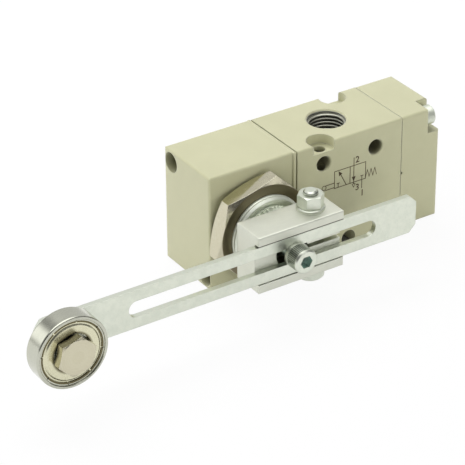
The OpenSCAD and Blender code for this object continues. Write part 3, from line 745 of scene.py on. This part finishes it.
def stroke(bm, first, second, width=symbol["line"]):
    # one straight line of ink
    start, end = onFront(first), onFront(second)
    run = end - start
    turn = Matrix.Rotation(-math.atan2(run.z, run.x), 4, "Y")
    size = Matrix.Diagonal((run.length + width, 2 * symbol["proud"], width, 1))
    bmesh.ops.create_cube(bm, size=1, matrix=Matrix.Translation((start + end) / 2) @ turn @ size)


def strokes(bm, spots, width=symbol["line"]):
    for first, second in zip(spots, spots[1:]):
        stroke(bm, first, second, width)


def arrowHead(bm, spot, towards):
    # solid triangle with its point at the spot
    size = symbol["arrow"]
    direction = Vector((towards[0], 0, towards[1])).normalized()
    side = direction.cross(Vector((0, 1, 0))) * size * symbol["arrowHalf"]
    point = onFront(spot) - Vector((0, symbol["proud"], 0))
    foot = point - direction * size
    face = bm.faces.new([bm.verts.new(c) for c in (point, foot + side, foot - side)])
    pull(bm, face, (0, 2 * symbol["proud"], 0))


def digit(bm, text, spot):
    # a plain figure, centred on the spot
    curve = bpy.data.curves.new("digit" + text, "FONT")
    curve.body = text
    curve.size = symbol["digit"]
    curve.extrude = symbol["proud"]
    curve.offset = symbol["bold"]
    curve.align_x = "CENTER"
    curve.align_y = "CENTER"
    holder = bpy.data.objects.new("digitHolder", curve)
    bpy.context.scene.collection.objects.link(holder)
    bpy.context.view_layer.update()
    shown = holder.evaluated_get(bpy.context.evaluated_depsgraph_get())
    mesh = bpy.data.meshes.new_from_object(shown)
    mesh.transform(Matrix.Translation(onFront(spot)) @ Matrix.Rotation(math.pi / 2, 4, "X"))
    bm.from_mesh(mesh)
    bpy.data.objects.remove(holder)
    bpy.data.meshes.remove(mesh)


def portSymbol():
    # the standard sign for a sprung three-port valve: two squares, their ways, a spring and a roller
    bm = bmesh.new()
    for x in (0, 1, 2):
        stroke(bm, (x, 0), (x, 1))
    for z in (0, 1):
        stroke(bm, (0, z), (2, z), symbol["levelLine"])
    outlet, supply, blocked, barHigh, barHalf = 1.24, 1.77, 0.24, 0.24, 0.07
    stroke(bm, (outlet, 1.45), (outlet, -0.1))
    arrowHead(bm, (outlet, 0.04), (0, -1))
    stroke(bm, (supply, barHigh), (supply, -0.5))
    stroke(bm, (supply - barHalf, barHigh), (supply + barHalf, barHigh))
    stroke(bm, (blocked, 0), (blocked, barHigh))
    stroke(bm, (blocked - barHalf, barHigh), (blocked + barHalf, barHigh))
    stroke(bm, (0.76, 0), (0.32, 0.86))
    arrowHead(bm, (0.26, 0.96), (-0.44, 0.86))
    vent = [(outlet - 0.1, -0.1), (outlet + 0.1, -0.1), (outlet, -0.3)]
    strokes(bm, vent + vent[:1], symbol["thinLine"])
    springLow, springHigh, pitch, bends = 0.04, 0.48, 0.12, 7
    zigzag = [(2 + pitch * i, springHigh if i % 2 else springLow) for i in range(bends)]
    strokes(bm, zigzag, symbol["thinLine"])
    for z in (0.06, 0.33):
        stroke(bm, (-0.55, z), (0, z))
    wheelX, wheelZ, wheelR, sides = -0.66, 0.22, 0.13, 16
    angles = [math.tau * i / sides for i in range(sides)]
    rim = [(wheelX + wheelR * math.cos(a), wheelZ + wheelR * math.sin(a)) for a in angles]
    strokes(bm, rim + rim[:1], symbol["thinLine"])
    digit(bm, "2", (outlet + 0.22, 1.29))
    digit(bm, "3", (outlet + 0.24, -0.38))
    digit(bm, "1", (supply + 0.04, -0.82))
    addPiece("port_symbol", bm, inkFinish(), "valve")


portSymbol()
print("port symbol drawn")

# camera, at the photograph's own viewpoint
view = {
    "place": (-0.39225, -0.60604, 0.43532),
    "turn": (59.53, 0.34, -33.15),
    "lens": 192.98,
    "sensor": 36,
    "near": 0.01,
}
lens = bpy.data.cameras.new("viewCamera")
lens.lens = view["lens"]
lens.sensor_width = view["sensor"]
lens.clip_start = view["near"]
camera = bpy.data.objects.new("viewCamera", lens)
camera.location = view["place"]
camera.rotation_euler = [math.radians(a) for a in view["turn"]]
bpy.context.scene.collection.objects.link(camera)
bpy.context.scene.camera = camera

# soft studio light
lamps = {
    "topBox": {"place": (0.10, 0.45, 0.75), "aim": (0, 0, 0.02), "size": (0.9, 0.6), "power": 6.6},
    "sideBox": {"place": (-0.85, 0.15, 0.45), "aim": (0, 0, 0.02), "size": (0.5, 0.7), "power": 3.6},
    "frontFill": {"place": (0.35, -0.9, 0.30), "aim": (0, 0, 0.02), "size": (0.6, 0.6), "power": 1.8},
    "lowFill": {"place": (0.05, -0.80, 0.04), "aim": (0, 0, 0), "size": (0.6, 0.2), "power": 1.3},
}
for name, lamp in lamps.items():
    light = bpy.data.lights.new(name, "AREA")
    light.shape = "RECTANGLE"
    light.size, light.size_y = lamp["size"]
    light.energy = lamp["power"]
    holder = bpy.data.objects.new(name, light)
    holder.location = lamp["place"]
    aim = Vector(lamp["aim"]) - Vector(lamp["place"])
    holder.rotation_euler = aim.to_track_quat("-Z", "Y").to_euler()
    holder.visible_glossy = False
    bpy.context.scene.collection.objects.link(holder)


def rayKinds(tree):
    # masks for rays from the camera, straight or through glass, and for mirrored rays
    path = tree.nodes.new("ShaderNodeLightPath")
    straight, through, mirrored = (Wire(path.outputs[name]) for name in
                                   ("Is Camera Ray", "Is Transmission Ray", "Is Glossy Ray"))
    return straight.larger(through), mirrored


surround = {
    "fill": 0.42,
    "front": 0.10,
    "backEdge": (-0.3, 0.3),
    "wall": (0.42, 0.74),
    "wallEdge": (-0.25, 0.1),
    "windows": {(-0.60, 0.73, 0.33): 1.15, (0.66, -0.72, 0.16): 1.0},
    "windowEdge": (0.4, 0.12),
    "ceiling": 2.2,
    "ceilingEdge": (0.7, 0.84),
}


def studioWorld():
    # white to the camera; metal sees a pale back wall, a bright ceiling and a dim room behind the camera
    world = bpy.data.worlds.new("studio")
    world.use_nodes = True
    bpy.context.scene.world = world
    tree = world.node_tree
    background = tree.nodes["Background"]
    direction = Wire(tree.nodes.new("ShaderNodeTexCoord").outputs["Generated"])
    seen, mirrored = rayKinds(tree)
    x, y, z = (along(direction, i) for i in range(3))
    back = y.step(*surround["backEdge"])
    ceiling = z.step(*surround["ceilingEdge"])
    room = back * x.step(*surround["wallEdge"], *surround["wall"]) + (1 - back) * surround["front"]
    for centre, strength in surround["windows"].items():
        offset = direction.vector("SUBTRACT", direction, centre)
        room = room + direction.vector("LENGTH", offset, out=1).step(*surround["windowEdge"], 0, strength)
    room = room * (1 - ceiling) + ceiling * surround["ceiling"]
    strength = mirrored * room + (1 - mirrored) * surround["fill"]
    plug(background.inputs["Color"], grey(1))
    plug(background.inputs["Strength"], seen + (1 - seen) * strength)


studioWorld()

floor = {
    "size": 6.0,
    "drop": 0.2 * mm,
    "white": (0.86, 0.88),
    "rough": 0.9,
    "grain": 0.6 * mm,
    # grey of the painted shadow below the valve
    "under": 0.25,
    "soft": 0.5 * mm,
    "glow": 0.94,
    "mirrored": 0.5,
    "fade": (-0.55, -0.28),
    "dim": 0.12,
}


def underValve(x, y):
    # 1 on the paper below the valve body, which is darkened there as a painted shadow that only the base
    # notch shows
    soft = floor["soft"]
    wide = x.step(bodyLow.x - soft, bodyLow.x) * x.step(bodyHigh.x + soft, bodyHigh.x)
    return wide * y.step(bodyLow.y - soft, bodyLow.y) * y.step(bodyHigh.y + soft, bodyHigh.y)


def studioFloor():
    # white paper that is dim in mirrored rays towards the front, and has a painted shadow of dark grey,
    # without glow, below the valve
    bm = bmesh.new()
    bmesh.ops.create_grid(bm, x_segments=1, y_segments=1, size=floor["size"])
    bmesh.ops.translate(bm, vec=(0, 0, cadBox[0].z - floor["drop"]), verts=bm.verts)
    mesh = bpy.data.meshes.new("studioFloor")
    bm.to_mesh(mesh)
    bm.free()
    material, shader, place = startMaterial("floorPaper")
    tree = material.node_tree
    x, y = along(place, 0), along(place, 1)
    shade = underValve(x, y)
    colour = place.noise(floor["grain"], 2).blend(*(grey(white) for white in floor["white"]))
    # painted shadow: the paper's colour turns dark grey below the valve
    endMaterial(shader, colour=shade.blend(colour, grey(floor["under"])), rough=floor["rough"])
    seen, mirrored = rayKinds(tree)
    lit = y.step(*floor["fade"])
    share = (seen * floor["glow"] + mirrored * (lit * floor["mirrored"] + (1 - lit))) * (1 - shade)
    paleness = seen + (1 - seen) * lit.step(0, 1, floor["dim"], 1)
    glow = place.node("Emission", inputs={"Color": paleness.blend(grey(0), grey(1)), "Strength": 1.0})
    mixed = place.node("MixShader", inputs={"Fac": share, 1: Wire(shader.outputs[0]), 2: glow})
    plug(tree.nodes["Material Output"].inputs["Surface"], mixed)
    mesh.materials.append(material)
    paper = bpy.data.objects.new("studioFloor", mesh)
    bpy.context.scene.collection.objects.link(paper)


studioFloor()
bpy.context.scene.view_settings.view_transform = "Standard"
print("studio lit")
